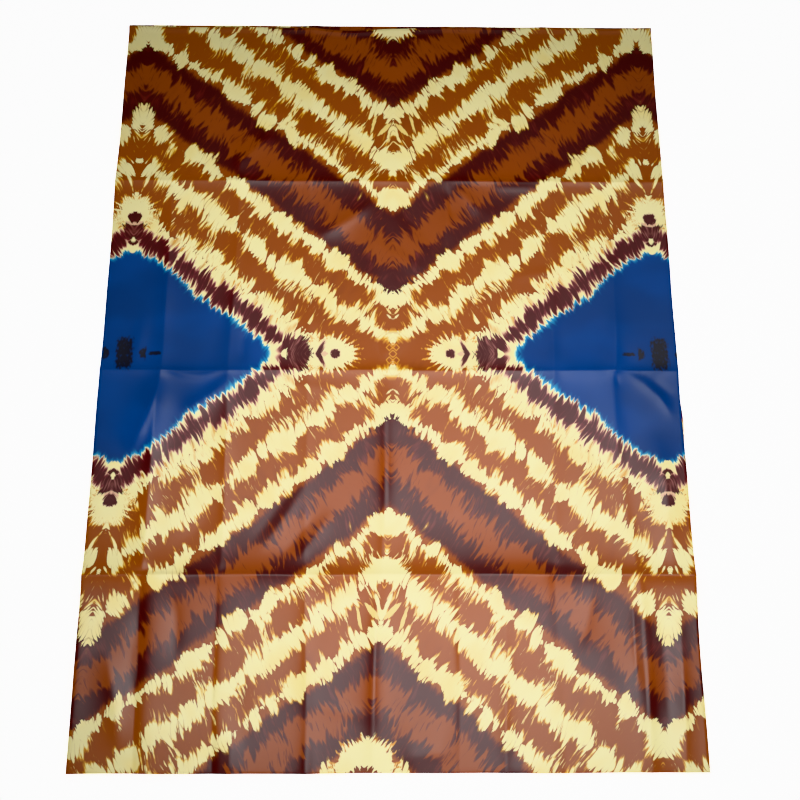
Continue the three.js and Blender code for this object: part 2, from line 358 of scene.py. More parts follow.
def fold_rise(x, y):
    """How far the folds lift the cloth above where it lies flat."""
    x, y = np.broadcast_arrays(x, y)
    rise = np.zeros(x.shape)
    for fold in CROSS_FOLDS:
        phase = PHASE_STEP * fold["y"]
        distance = y - fold["y"] + CREASE_WANDER * wander(x, phase)
        spread = np.where(distance > 0, fold["spread"], fold["spread"] * fold["near"])
        rise += crest(distance, fold["rise"], spread)
        distance = np.where(distance > 0, distance * PRESS_STEEPER, distance)
        press = fold["press"] * (1 + PRESS_UNEVEN * wander(x, phase + 1))
        rise += crest(distance, press, PRESS_SPREAD)
    for fold in LENGTHWISE_FOLDS:
        stops, places, heights = np.array(fold["path"])[::-1].T
        stray = CREASE_WANDER * wander(y, PHASE_STEP * places[0])
        distance = x - np.interp(y, stops, places) + stray
        swing = HEIGHT_UNEVEN * wander(y * HEIGHT_PACE, HEIGHT_PHASE_STEP * places[0])
        height = np.interp(y, stops, heights) * (1 + swing)
        rise += crest(distance, np.maximum(height, 0), fold["spread"])
        inner = np.maximum(-distance * np.sign(places[0]), 0)
        puffed = (1 - np.exp(-inner / fold["spread"])) * np.exp(-inner / PUFF_REACH)
        rise -= np.minimum(height, 0) * puffed
    for fold in SLACK_FOLDS:
        start, run = np.array(fold["at"]), np.array(fold["to"]) - np.array(fold["at"])
        length = np.hypot(*run)
        run = run / length
        along = ((x - start[0]) * run[0] + (y - start[1]) * run[1]) / length
        aside = (y - start[1]) * run[0] - (x - start[0]) * run[1]
        aside = aside - fold["bow"] * 4 * along * (1 - along)
        shown = smooth(along / SLACK_FADE) * smooth((1 - along) / SLACK_FADE)
        rise += shown * crest(aside, fold["rise"], fold["spread"])
    chance = np.random.default_rng(BUCKLE_SEED)
    for _ in range(BUCKLES):
        middle_x, middle_y = chance.uniform(-0.5, 0.5, 2) * (CLOTH_WIDTH, LAID_LENGTH)
        turn = chance.normal(0, BUCKLE_TURN)
        long, wide = chance.uniform(*BUCKLE_LONG), chance.uniform(*BUCKLE_WIDE)
        height = chance.normal(0, BUCKLE_RISE)
        along = (y - middle_y) * math.cos(turn) + (x - middle_x) * math.sin(turn)
        aside = (x - middle_x) * math.cos(turn) - (y - middle_y) * math.sin(turn)
        rise += height * np.exp(-((along / long) ** 2) - (aside / wide) ** 2)
    return np.maximum(rise, 0.0)


def left_selvedge(y):
    return -HALF_WIDTH + SELVEDGE_WANDER * (1 + wander(y, phase=0.4))


def right_selvedge(y):
    return HALF_WIDTH - SELVEDGE_WANDER * (1 + wander(y, phase=2.1))


def near_fold(x):
    return -HALF_LENGTH + NEAR_FOLD_WANDER * (1 + wander(x, phase=1.2)) / 2


def cut_edge(x):
    """Where the upper length's cut edge lies, eased from row to row of its table."""
    back = np.full(np.shape(x), CUT_EDGE[0]["back"])
    for one, two in zip(CUT_EDGE, CUT_EDGE[1:]):
        share = smooth((x - one["x"]) / (two["x"] - one["x"]))
        back = back + (two["back"] - one["back"]) * share
    return HALF_LENGTH - back


def stations(low, high, creases, steps):
    """Places from low to high, close together at the creases and at both ends."""
    fine, wide = steps
    places = [low]
    while places[-1] < high:
        nearest = min(abs(places[-1] - crease) for crease in creases)
        places.append(places[-1] + fine + (wide - fine) * float(smooth(nearest / STEP_REACH)))
    inner = low + (np.array(places) - low) * (high - low) / (places[-1] - low)
    return np.concatenate([[low, low + EDGE_ROUND], inner[1:-1], [high - EDGE_ROUND, high]])


def kept(places, turning):
    """Which rows or columns the hidden back keeps: every other one, both rims and the marked."""
    count = len(places)
    keep = np.arange(count) % 2 == 0
    keep[[0, 1, count - 2, count - 1]] = True
    return np.flatnonzero(keep | turning)


def shell(name, middle, out, cloth_place, turning):
    """A closed thin shell round a grid of middle points, whose two faces meet at its edges.
    out holds each point's outward direction, cloth_place where it is on the cut cloth, and
    turning marks the rows that the back keeps too, as it does in a fold. Elsewhere the back,
    which never shows, is a coarser grid."""
    rows, columns = middle.shape[:2]
    rim = np.zeros((rows, columns), bool)
    rim[[0, -1], :] = True
    rim[:, [0, -1]] = True
    half = np.where(rim, 0.0, THICKNESS / 2)[..., None]
    front = np.arange(rows * columns).reshape(rows, columns)
    back_rows = kept(np.arange(rows), turning)
    back_columns = kept(np.arange(columns), np.zeros(columns, bool))
    inner = np.zeros((rows, columns), bool)
    inner[np.ix_(back_rows, back_columns)] = True
    inner &= ~rim
    back = front.copy()
    back[inner] = rows * columns + np.arange(inner.sum())
    points = np.concatenate(
        [(middle + out * half).reshape(-1, 3), (middle - out * half)[inner].reshape(-1, 3)]
    )
    places = np.concatenate([cloth_place.reshape(-1, 2), cloth_place[inner].reshape(-1, 2)])

    faces = [
        (front[r, c], front[r + 1, c], front[r + 1, c + 1], front[r, c + 1])
        for r in range(rows - 1)
        for c in range(columns - 1)
    ]
    for top, bottom in zip(back_rows, back_rows[1:]):
        for left, right in zip(back_columns, back_columns[1:]):
            across = range(left + 1, right)
            down = range(top + 1, bottom)
            corners = [(top, left)]
            corners += [(top, c) for c in across if top == 0]
            corners += [(top, right)]
            corners += [(r, right) for r in down if right == columns - 1]
            corners += [(bottom, right)]
            corners += [(bottom, c) for c in reversed(across) if bottom == rows - 1]
            corners += [(bottom, left)]
            corners += [(r, left) for r in reversed(down) if left == 0]
            faces.append(tuple(back[corner] for corner in corners))
    mesh = bpy.data.meshes.new(name)
    mesh.from_pydata(points.tolist(), [], [tuple(map(int, face)) for face in faces])
    cut_map = mesh.uv_layers.new(name="cut_cloth")
    used = np.array([loop.vertex_index for loop in mesh.loops])
    cut_map.uv.foreach_set("vector", places[used].astype(np.float32).ravel())
    mesh.shade_smooth()
    piece = bpy.data.objects.new(name, mesh)
    bpy.context.scene.collection.objects.link(piece)
    return piece


crease_columns = [np.mean([place[1] for place in fold["path"]]) for fold in LENGTHWISE_FOLDS]
crease_rows = [fold["y"] for fold in CROSS_FOLDS]
columns = stations(-HALF_WIDTH, HALF_WIDTH, crease_columns, COLUMN_STEPS)
rows = stations(-HALF_LENGTH, HALF_LENGTH, crease_rows, ROW_STEPS)

turn_radius = (UPPER_LEVEL - MIDDLE_LEVEL) / 2
turn_reach = turn_radius + THICKNESS / 2
flat_rows = rows[rows > -HALF_LENGTH + 2 * turn_reach][::-1]
turns = np.linspace(0, math.pi, FOLD_STEPS + 1)

upper_x = np.broadcast_to(columns, (len(flat_rows) + len(turns) + 2, len(columns))).copy()
cut_pull = smooth((flat_rows - (HALF_LENGTH - CUT_EDGE_REACH)) / CUT_EDGE_REACH)[:, None]
flat_y = flat_rows[:, None] - cut_pull * (HALF_LENGTH - cut_edge(columns))[None, :]
near_y = near_fold(columns)[None, :] + turn_reach
turn_y = near_y - turn_radius * np.sin(turns)[:, None]
return_end = -HALF_LENGTH + FOLD_RETURN
return_y = np.broadcast_to([[return_end - EDGE_ROUND], [return_end]], (2, len(columns)))
upper_y = np.concatenate([flat_y, turn_y, return_y])
upper_x[:, 0] = left_selvedge(upper_y[:, 0])
upper_x[:, 1] = left_selvedge(upper_y[:, 1]) + EDGE_ROUND
upper_x[:, -2] = right_selvedge(upper_y[:, -2]) - EDGE_ROUND
upper_x[:, -1] = right_selvedge(upper_y[:, -1])

turned = np.concatenate([np.zeros(len(flat_rows)), turns, [math.pi, math.pi]])[:, None]
drop = turn_radius * (1 - np.cos(turned))
from_edge = (cut_edge(upper_x) - upper_y) / CUT_LIFT_REACH
upper_z = UPPER_LEVEL + fold_rise(upper_x, upper_y) - drop + CUT_LIFT * smooth(1 - from_edge)
upper_out = np.stack(
    np.broadcast_arrays(np.zeros(1), -np.sin(turned), np.cos(turned), upper_z)[:3], axis=-1
)
from_cut = HALF_LENGTH - upper_y
from_cut = np.where(turned > 0, LAID_LENGTH + turn_radius * turned, from_cut)
from_cut[-2:] = LAID_LENGTH + FOLD_RETURN - np.array([[EDGE_ROUND], [0]])
upper = shell(
    "upper_length",
    np.stack([upper_x, upper_y, upper_z], axis=-1),
    upper_out,
    np.stack([upper_x, from_cut], axis=-1),
    turned[:, 0] > 0,
)


# ---- The dyed and glazed finish -------------------------------------------------------------
# Tie-dye style print through the cloth: bands of cream, brown, plum and blue run as nested
# diamonds, mirrored about the cloth's middle, its side axes and each crossing, with jagged edges
# where dye wicked along the pleats. Beaten glaze gives the cotton a soft sheen.

# The repeat: where its middle is at the cut edge, half its width and half its length, and where
# the first crossing lies. From SKEW_FROM to SKEW_TO along the cloth, its middle runs more and
# more askew.
MIDDLE_AT_CUT = 0.0055
SKEW = 0.098
SKEW_FROM = 0.800
SKEW_TO = 1.540
HALF_REPEAT_ACROSS = 0.529
HALF_REPEAT_ALONG = 0.820
CROSSING = HALF_LENGTH - 0.0124
BAND_SLOPE = 0.77
AXIS_ROUND = 0.0025

# Places of the bands, measured out from the diamonds' middles along the cloth, and how far
# they sway.
BLUE_EDGE = 0.2318
FIRST_PLUM = 0.2640
FIRST_PLUM_HALF = 0.0240
FIRST_PLUM_END = 0.317
FIRST_PLUM_SWAY = 0.005
BAND_START = 0.214
BAND_PERIOD = 0.409
BAND_SWAY = 0.006

# In each period: the cream lines, and from their middle, where they begin to face the plum, and
# between what distances the brown turns to rust and the plum runs.
CREAM_LINES = [dict(at=0.105, half=0.0155), dict(at=0.2075, half=0.0190), dict(at=0.302, half=0.0150)]
LINES_MIDDLE = 0.2035
PLUM_SIDE = (0.092, 0.100)
RUST_FROM = 0.110
RUST_TO = 0.160
PLUM_FROM = 0.129
PLUM_TO = 0.1705

# Near the crossing the cream lines narrow and bend away from it, round two brown lobes. A cream
# spur and a brown wedge lie on the middle axis, and the lines are a little wider beside it. Away
# from the crossing they widen at both mirror axes.
BEND = 0.0085
BEND_NARROWER = 0.0040
BEND_FROM = 0.130
BEND_REACH = 0.250
BROWN_LOBE = dict(tall=0.030, out=0.030, rise=0.52, inner_rise=-0.13, far=0.085, fall=0.5)
SPUR = dict(tip=0.013, slope=0.60, end=0.048)
WEDGE = dict(tip=0.040, slope=0.60, end=0.095)
SHOULDER = 0.003
SIDE_AXIS_WIDER = 0.012
MIDDLE_AXIS_WIDER = 0.006

# The dye wicked along the pleats, at JAG_LEAN to the cloth's width, and its way wanders. Each
# kind of mark that the pleats left has a width, a length along the wick, and a seed. WANDERS,
# TONE and FEATHER are measured across and along the cloth instead.
JAG_LEAN = math.radians(62)
WICK_WANDER = 0.0035
WANDERS = (0.050, 0.050, 12)
SWAY = (0.060, 0.120, 1)
SWELL = (0.028, 0.060, 8)
WAVES = (0.013, 0.050, 2)
CLUSTERS = (0.045, 0.060, 6)
STREAKS = (0.0036, 0.030, 5)
TEETH = (0.0072, 0.052, 3)
FINE_TEETH = (0.0037, 0.026, 4)
SPIKES = (0.0066, 0.055, 9)
SMALL_SPIKES = (0.0036, 0.030, 10)
SPIKE_MELT = 0.20
SMALL_SPIKE_MELT = 0.15
TONE = (0.160, 0.120, 7)
FEATHER = (0.0045, 0.0070, 11)
SLIT_WIDTH = 0.11

# How far each kind of mark moves an edge of the print, in metres.
PLUM_OUTER = dict(swell=0.007, clusters=0.003, waves=0.003, teeth=0.028, fine_teeth=0.005)
PLUM_INNER = dict(swell=0.003, fine_teeth=0.007, streaks=0.002)
CREAM_WIDE = dict(swell=0.0112, clusters=0.006)
CREAM_FINE = dict(waves=0.003, fine_teeth=0.0085, streaks=0.0012)
CREAM_PETALS = 0.020
CREAM_TEETH = 0.024
CREAM_SLITS = 0.001
CREAM_SLITS_AT_PLUM = 0.003
FIRST_PLUM_JAGS = dict(spikes=0.024, swell=0.004)
BLUE_JAGS = dict(spikes=-0.014, waves=0.0015, streaks=0.0006)
BLUE_THINNING = dict(streaks=0.004, waves=0.004)
TIP_JAGS = dict(waves=0.0010, fine_teeth=0.0060, small_height=0.0020, streaks=0.0010)

# Stains: which marks let one dye show through another, and between which sums of them.
RED_STAIN = dict(marks=dict(tone=1.0, waves=0.4), low=0.2, high=1.8)
PLUM_BLOOMED = dict(marks=dict(streaks=0.6, waves=0.4, swell=0.4), low=0.1, high=2.0)
WORN_THROUGH = dict(marks=dict(streaks=1.0, fine_teeth=0.6, clusters=0.5), low=0.75, high=1.45)
DASHES = dict(marks=dict(streaks=0.5, fine_teeth=0.25, clusters=0.22), low=0.36, high=0.48)
SLIVERS_WARM = dict(marks=dict(clusters=1.0, waves=0.5), low=-0.2, high=1.2)
CREAM_WARM = dict(marks=dict(tone=1.0, swell=0.5), low=-0.4, high=1.6)
CORE_WORN = dict(marks=dict(streaks=1.0, waves=0.5), low=0.0, high=1.5)
TIP_STREAKED = dict(marks=dict(streaks=1.0, waves=0.5), low=-0.3, high=1.6)
TIP_WORN = dict(marks=dict(streaks=0.6, waves=0.6), low=0.1, high=1.7)

# Marks on the mirror axes, where pleats met: at the blue diamonds' tips on the side axes and
# towards the crossing, along the cloth's middle, and where a plum band comes to a point on the
# side axes. Each is a rounded spot: where it lies along its axis, how far off it if at all, half
# its length and width, how square it is, how far it sweeps along as it goes aside if it does,
# and its dye.
SIDE_TIP = [
    dict(at=0.3000, long=0.0300, wide=0.0340, square=2.2, dye="cream"),
    dict(at=0.2640, long=0.0120, wide=0.0230, square=1.5, sweep=0.45, dye="core"),
    dict(at=0.2500, long=0.0150, wide=0.0190, square=1.5, sweep=0.35, dye="core"),
    dict(at=0.2765, long=0.0040, wide=0.0180, square=1.8, sweep=0.3, dye="pink"),
    dict(at=0.2905, long=0.0122, wide=0.0132, square=1.4, dye="plum"),
    dict(at=0.2230, long=0.0085, wide=0.0125, square=3.0, dye="cream"),
    dict(at=0.2370, long=0.0090, wide=0.0120, square=1.0, dye="plum"),
    dict(at=0.2420, long=0.0085, wide=0.0056, square=1.1, dye="cream"),
]
CROSSING_TIP = [
    dict(at=0.4020, long=0.0470, wide=0.0300, square=2.4, dye="cream"),
    dict(at=0.3500, long=0.0180, wide=0.0330, square=6.0, sweep=-0.20, dye="core"),
    dict(at=0.3815, long=0.0046, wide=0.0205, square=2.0, sweep=0.45, dye="plum"),
    dict(at=0.3945, long=0.0060, wide=0.0045, square=1.2, dye="pink"),
    dict(at=0.4165, long=0.0080, wide=0.0074, square=3.0, dye="plum"),
    dict(at=0.3130, long=0.0060, wide=0.0100, square=1.3, sweep=0.6, dye="cream"),
]
MIDDLE_MARKS = [
    dict(at=0.7700, long=0.0560, wide=0.0520, square=1.9, dye="cream"),
    dict(at=0.7880, long=0.0240, wide=0.0500, square=1.1, dye="brown"),
    dict(at=0.6935, long=0.0175, wide=0.0200, square=1.6, dye="band"),
    dict(at=0.1240, long=0.0230, wide=0.0330, square=1.3, sweep=-0.35, dye="cream"),
    dict(at=0.4170, long=0.0225, wide=0.0440, square=1.6, sweep=0.35, dye="cream"),
    dict(at=0.4950, off=0.0190, long=0.0068, wide=0.0165, square=1.4, sweep=-1.0, dye="yellow"),
    dict(at=0.4860, off=0.0085, long=0.0100, wide=0.0070, square=1.4, sweep=-2.6, dye="cream"),
    dict(at=0.5080, off=0.0410, long=0.0120, wide=0.0070, square=1.4, sweep=-2.6, dye="yellow"),
    dict(at=0.1545, long=0.0248, wide=0.0400, square=1.05, dye="band"),
    dict(at=0.0690, long=0.0060, wide=0.0020, square=1.3, dye="yellow"),
    dict(at=0.0770, off=0.0068, long=0.0030, wide=0.0056, square=1.4, sweep=0.9, dye="cream"),
    dict(at=0.0900, off=0.0090, long=0.0030, wide=0.0060, square=1.3, sweep=1.2, dye="yellow"),
]
SIDE_END = [
    dict(at=0.6700, long=0.0240, wide=0.0240, square=1.3, dye="band"),
]

# The blue diamonds' tips are cut off a little. The marks' edges are the more ragged the larger
# they are, up to a limit, and the largest are edged with rays of cream and amber.
TIP_CUT = 0.0110
TIP_ROUND = 0.012
TIP_RAGGED = 0.014
RAGGED_AT_MOST = 1.6
RAYED_FROM = 0.025
RAYS = (0.11, 0.060, 13)
RAY_REACH = 0.0048
RAY_AMBER = 0.005

# A knot of small rings at the crossing.
RINGS = [
    dict(aside=0.0000, up=0.0000, wide=0.0085, tall=0.0100),
    dict(aside=0.0072, up=0.0130, wide=0.0055, tall=0.0070),
    dict(aside=0.0000, up=0.0200, wide=0.0042, tall=0.0060),
]
RING_HALF = 0.0006
RING_UNEVEN = 0.10

# Dark blots in the middles of the blue diamonds, on and beside the side axes.
BLOTS = [
    dict(aside=0.000, half_width=0.0195, half_height=0.0325, waist=0.20, flare=0.0),
    dict(aside=0.036, half_width=0.0070, half_height=0.0150, waist=0.00, flare=0.3),
    dict(aside=0.061, half_width=0.0125, half_height=0.0038, waist=0.00, flare=0.0),
]
BLOT_SQUARE = 4.0

# How wide the dark line painted along the raw cut edge is, and how uneven: a painted shadow, standing
# in for the shade under the lifted edge.
PAINTED_EDGE_SHADOW_WIDTH = 0.0042
PAINTED_EDGE_SHADOW_UNEVEN = dict(waves=0.0006, swell=0.0006)

# The glaze, from its sheen where it is beaten best, and the weave under it: how far one yarn is
# from the next, and how deep the relief between them.
GLOSS = 0.47
GLOSS_UNEVEN = 0.015
BLUE_GLOSS_LOSS = 0.15
DULLNESS = 0.30
DULLNESS_UNEVEN = 0.008
WEAVE = 0.0009
WEAVE_DEPTH = 0.000004


def srgb(code):
    """A colour from its six-figure hex code, as the shader's linear red, green and blue."""
    parts = [int(code[at : at + 2], 16) / 255 for at in (0, 2, 4)]
    return [p / 12.92 if p <= 0.04045 else ((p + 0.055) / 1.055) ** 2.4 for p in parts] + [1.0]


CREAM = srgb("eee4a8")
WARM_CREAM = srgb("eedd94")
YELLOW = srgb("e3bf52")
AMBER = srgb("cf8f2a")
BROWN = srgb("8b4200")
RUST = srgb("873d01")
RED_BROWN = srgb("5c1a05")
PLUM = srgb("430f0e")
PLUM_BLOOM = srgb("6b2a26")
PINK = srgb("cf9282")
MAROON = srgb("6c2a30")
BLUE = srgb("003b7f")
DEEP_BLUE = srgb("00326e")
TEAL = srgb("2490bc")
PALE_TEAL = srgb("a9dccb")
# The dark blots' dye, also used as the colour of the painted shadow along the cut edge.
BLOT_AND_EDGE_SHADOW = srgb("2b2618")


class Field:
    """A number that varies over the cloth. Sums of fields become nodes of the finish."""

    tree = None

    def __init__(self, socket):
        self.socket = socket

    @classmethod
    def node(cls, kind, inputs, **settings):
        made = cls.tree.nodes.new(kind)
        for name, value in settings.items():
            setattr(made, name, value)
        for slot, value in inputs.items():
            if isinstance(value, Field):
                cls.tree.links.new(value.socket, made.inputs[slot])
            else:
                made.inputs[slot].default_value = value
        return made

    @classmethod
    def math(cls, operation, *terms):
        made = cls.node("ShaderNodeMath", dict(enumerate(terms)), operation=operation)
        return cls(made.outputs[0])

    def __add__(self, other):
        return Field.math("ADD", self, other)

    __radd__ = __add__

    def __sub__(self, other):
        return Field.math("SUBTRACT", self, other)

    def __rsub__(self, other):
        return Field.math("SUBTRACT", other, self)

    def __mul__(self, other):
        return Field.math("MULTIPLY", self, other)

    __rmul__ = __mul__

    def __truediv__(self, other):
        return Field.math("DIVIDE", self, other)

    def __abs__(self):
        return Field.math("ABSOLUTE", self)

    def ramp(self, low, high):
        """Eases from 0 at low to 1 at high."""
        inputs = {"Value": self, "From Min": low, "From Max": high}
        made = Field.node("ShaderNodeMapRange", inputs, interpolation_type="SMOOTHSTEP")
        return Field(made.outputs["Result"])


def blend(under, over, share):
    """One dye over another, where share goes from 0 to 1."""
    inputs = {"Factor": share, 6: under, 7: over}
    made = Field.node("ShaderNodeMix", inputs, data_type="RGBA")
    return Field(made.outputs[2])


def place(across, along, width, length, seed):
    """The cloth measured in marks of that width and length, from a start of its own."""
    inputs = {"X": across / width + 7.31 * seed, "Y": along / length + 3.17 * seed}
    return Field(Field.node("ShaderNodeCombineXYZ", inputs).outputs[0])


def mottle(across, along, width, length, seed, detail=0.0):
    """Soft uneven marks, from about -1 to 1."""
    inputs = {"Vector": place(across, along, width, length, seed), "Scale": 1.0, "Detail": detail}
    made = Field.node("ShaderNodeTexNoise", inputs, noise_dimensions="2D")
    return (Field(made.outputs["Fac"]) - 0.5) * 4.0


def jags(across, along, width, length, seed, melt=0.0):
    """Narrow cells along the wick: the distance from each one's middle, and its own height.
    Where they melt together, the notches between them are round."""
    inputs = {"Vector": place(across, along, width, length, seed), "Scale": 1.0}
    settings = dict(voronoi_dimensions="2D", feature="SMOOTH_F1" if melt else "F1")
    made = Field.node("ShaderNodeTexVoronoi", inputs, **settings)
    if melt:
        made.inputs["Smoothness"].default_value = melt
    height = Field.node("ShaderNodeSeparateColor", {"Color": Field(made.outputs["Color"])})
    return Field(made.outputs["Distance"]), Field(height.outputs[0])


def slits(across, along, width, length, seed):
    """Thin lines between the same cells, 1 in their middles."""
    inputs = {"Vector": place(across, along, width, length, seed), "Scale": 1.0}
    settings = dict(voronoi_dimensions="2D", feature="DISTANCE_TO_EDGE")
    made = Field.node("ShaderNodeTexVoronoi", inputs, **settings)
    return 1.0 - Field(made.outputs["Distance"]).ramp(0.0, SLIT_WIDTH)


def worked(marks, weights):
    """The marks of several kinds together, each kind times its own weight."""
    total = 0.0
    for kind, weight in weights.items():
        total = total + marks[kind] * weight
    return total


def stained(marks, stain):
    """Where a stain lets one dye show through another, from 0 to 1."""
    return worked(marks, stain["marks"]).ramp(stain["low"], stain["high"])


def rounded(distance, radius=AXIS_ROUND):
    """A distance that turns in a curve near zero, so that marks cross a mirror axis smoothly."""
    return Field.math("SQRT", distance * distance + radius**2)


def deepest(depths):
    """The greatest of several depths."""
    depth = depths[0]
    for other in depths[1:]:
        depth = Field.math("MAXIMUM", depth, other)
    return depth


def shallower(one, other):
    """The smaller of two depths."""
    return Field.math("MINIMUM", one, other)


def spot(aside, out, mark):
    """How deep a place is inside a rounded mark, in metres. Some stand off the axis, in pairs."""
    aside = aside - mark.get("off", 0.0)
    swept = out - mark["at"] - aside * mark.get("sweep", 0.0)
    reach = Field.math("POWER", abs(swept) / mark["long"], mark["square"])
    reach = reach + Field.math("POWER", abs(aside) / mark["wide"], mark["square"])
    reach = Field.math("POWER", reach, 1 / mark["square"])
    return (1.0 - reach) * min(mark["long"], mark["wide"])


def glazed_print():
    """The finish. Its dyes go on from the ground up, and each comes in over a few millimetres of
    the depth inside its own edge: the figures of those ramps are metres of that depth."""
    finish = bpy.data.materials.new("glazed_print")
    finish.use_nodes = True
    Field.tree = finish.node_tree
    shader = finish.node_tree.nodes["Principled BSDF"]

    cut = Field.node("ShaderNodeUVMap", {}, uv_map="cut_cloth")
    parts = Field.node("ShaderNodeSeparateXYZ", {"Vector": Field(cut.outputs["UV"])})
    across, along = Field(parts.outputs["X"]), Field(parts.outputs["Y"])

    # Distances from the middle, from the side axis and from the crossing, folded at the mirrors.
    askew = shallower(deepest([along - SKEW_FROM, 0.0]), SKEW_TO - SKEW_FROM)
    from_middle = rounded(across - MIDDLE_AT_CUT + askew * askew * SKEW)
    from_side = rounded(HALF_REPEAT_ACROSS - from_middle)
    inward = HALF_REPEAT_ACROSS - from_side
    from_crossing = Field.math("PINGPONG", along - CROSSING, HALF_REPEAT_ALONG)
    out = from_crossing + from_side * BAND_SLOPE
    axis = shallower(from_crossing, from_side)
    beside = inward * math.sin(JAG_LEAN) + from_crossing * math.cos(JAG_LEAN)
    wick = from_crossing * math.sin(JAG_LEAN) - inward * math.cos(JAG_LEAN)

    # Marks of the pleats, drawn out along the wick, which wanders a little. The tone of the dyes
    # and the feathering of the blots lie with the cloth instead.
    beside = beside + mottle(across, along, *WANDERS) * WICK_WANDER
    sway = mottle(beside, wick, *SWAY)
    swell = mottle(beside, wick, *SWELL)
    waves = mottle(beside, wick, *WAVES)
    clusters = mottle(beside, wick, *CLUSTERS)
    streaks = mottle(beside, wick, *STREAKS, 1.0)
    tone = mottle(across, along, *TONE, 2.0)
    feather = mottle(across, along, *FEATHER)
    tooth, tooth_height = jags(beside, wick, *TEETH)
    fine_tooth, fine_height = jags(beside, wick, *FINE_TEETH)
    slit = slits(beside, wick, *TEETH)
    teeth = tooth_height - tooth * 1.1
    petals = tooth_height * 0.45 - tooth * tooth * 0.9
    fine_teeth = fine_height - fine_tooth
    spike, spike_height = jags(beside, wick, *SPIKES, SPIKE_MELT)
    small_spike, small_height = jags(beside, wick, *SMALL_SPIKES, SMALL_SPIKE_MELT)
    spikes = spike_height * 0.9 - spike * 1.25 + small_height * 0.35 - small_spike * 0.40
    spikes = spikes * axis.ramp(0.004, 0.022)
    marks = dict(swell=swell, waves=waves, clusters=clusters, streaks=streaks, tone=tone)
    marks.update(teeth=teeth, fine_teeth=fine_teeth, spikes=spikes, small_height=small_height)

    reach = Field.math("SQRT", from_crossing * from_crossing + inward * inward * 4.0)
    near_crossing = reach.ramp(BEND_REACH, BEND_FROM)
    bent = out - near_crossing * BEND
    wrapped = Field.math("WRAP", bent - BAND_START + sway * BAND_SWAY, BAND_PERIOD, 0.0)
    from_lines = abs(wrapped - LINES_MIDDLE)

    # Brown ground, redder between the plum bands.
    ground = blend(BROWN, RUST, from_lines.ramp(RUST_FROM, RUST_TO))
    ground = blend(ground, RED_BROWN, stained(marks, RED_STAIN) * 0.25)

    # Plum bands, feathered into the brown and worn through to red brown along the pleats.
    plum_depth = PLUM_TO - from_lines + worked(marks, PLUM_OUTER)
    inner_depth = from_lines - PLUM_FROM + worked(marks, PLUM_INNER)
    bordered = plum_depth.ramp(-0.010, 0.001) * inner_depth.ramp(-0.014, -0.002)
    ground = blend(ground, RED_BROWN, bordered)
    band = blend(PLUM, PLUM_BLOOM, stained(marks, PLUM_BLOOMED))
    ground = blend(ground, band, plum_depth.ramp(-0.001, 0.006) * inner_depth.ramp(-0.007, 0.004))
    worn_through = stained(marks, WORN_THROUGH) * plum_depth.ramp(0.050, 0.012)
    ground = blend(ground, RED_BROWN, worn_through * 0.85)

    # Cream lines over them. Their edges are finely jagged, and more uneven away from the crossing.
    plum_side = from_lines.ramp(*PLUM_SIDE)
    lines = deepest([line["half"] - abs(wrapped - line["at"]) for line in CREAM_LINES])
    comb = petals * CREAM_PETALS * plum_side + teeth * CREAM_TEETH * (1.0 - plum_side)
    uneven = (worked(marks, CREAM_WIDE) + comb) * reach.ramp(0.020, 0.100)
    edge = lines + uneven + worked(marks, CREAM_FINE)
    edge = edge - slit * (CREAM_SLITS + plum_side * CREAM_SLITS_AT_PLUM)
    shoulder = inward.ramp(0.002, 0.018) * inward.ramp(0.080, 0.030) * reach.ramp(0.250, 0.150)
    at_side_axis = from_side.ramp(0.040, 0.004) * SIDE_AXIS_WIDER
    at_middle_axis = inward.ramp(0.030, 0.004) * MIDDLE_AXIS_WIDER
    edge = edge + shoulder * SHOULDER + (at_side_axis + at_middle_axis) * reach.ramp(0.100, 0.200)

    # Near the crossing the brown lobes and wedge cut into the cream, and the spur joins it.
    past_lobe = inward - BROWN_LOBE["out"]
    lobe_rise = deepest([past_lobe * BROWN_LOBE["rise"], past_lobe * BROWN_LOBE["inner_rise"]])
    beyond_lobe = from_crossing - BROWN_LOBE["tall"] - lobe_rise + fine_teeth * 0.005
    beyond_lobe = deepest([beyond_lobe, (inward - BROWN_LOBE["far"]) * BROWN_LOBE["fall"]])
    edge = shallower(edge - near_crossing * BEND_NARROWER, beyond_lobe + waves * 0.001)
    wedge = inward - (from_crossing - WEDGE["tip"]) * WEDGE["slope"] + fine_teeth * 0.003
    edge = shallower(edge, deepest([wedge, from_crossing - WEDGE["end"]]))
    spur = (from_crossing - SPUR["tip"]) * SPUR["slope"] - inward + fine_teeth * 0.003
    edge = deepest([edge, shallower(spur, SPUR["end"] - from_crossing)])

    # Amber where the dye thinned out along the cream, and slivers of cream let into the brown.
    amber_share = (clusters * 0.5 + tooth_height * 1.4 - plum_side * 0.5).ramp(0.1, 1.0)
    print_colour = blend(ground, AMBER, edge.ramp(-0.0085, 0.0) * amber_share * 0.8)
    dashes = stained(marks, DASHES)
    slivers = dashes * edge.ramp(-0.032, -0.010) * (1.0 - plum_side) * beyond_lobe.ramp(-0.004, 0.003)
    sliver_tint = blend(AMBER, WARM_CREAM, stained(marks, SLIVERS_WARM))
    print_colour = blend(print_colour, sliver_tint, slivers)
    cream = blend(CREAM, WARM_CREAM, stained(marks, CREAM_WARM))
    cream_here = blend(cream, YELLOW, edge.ramp(0.0060, 0.0) * amber_share)
    cream_here = blend(cream_here, BROWN, slit * edge.ramp(0.014, 0.002) * 0.35)
    print_colour = blend(print_colour, cream_here, edge.ramp(-0.0009, 0.0009))

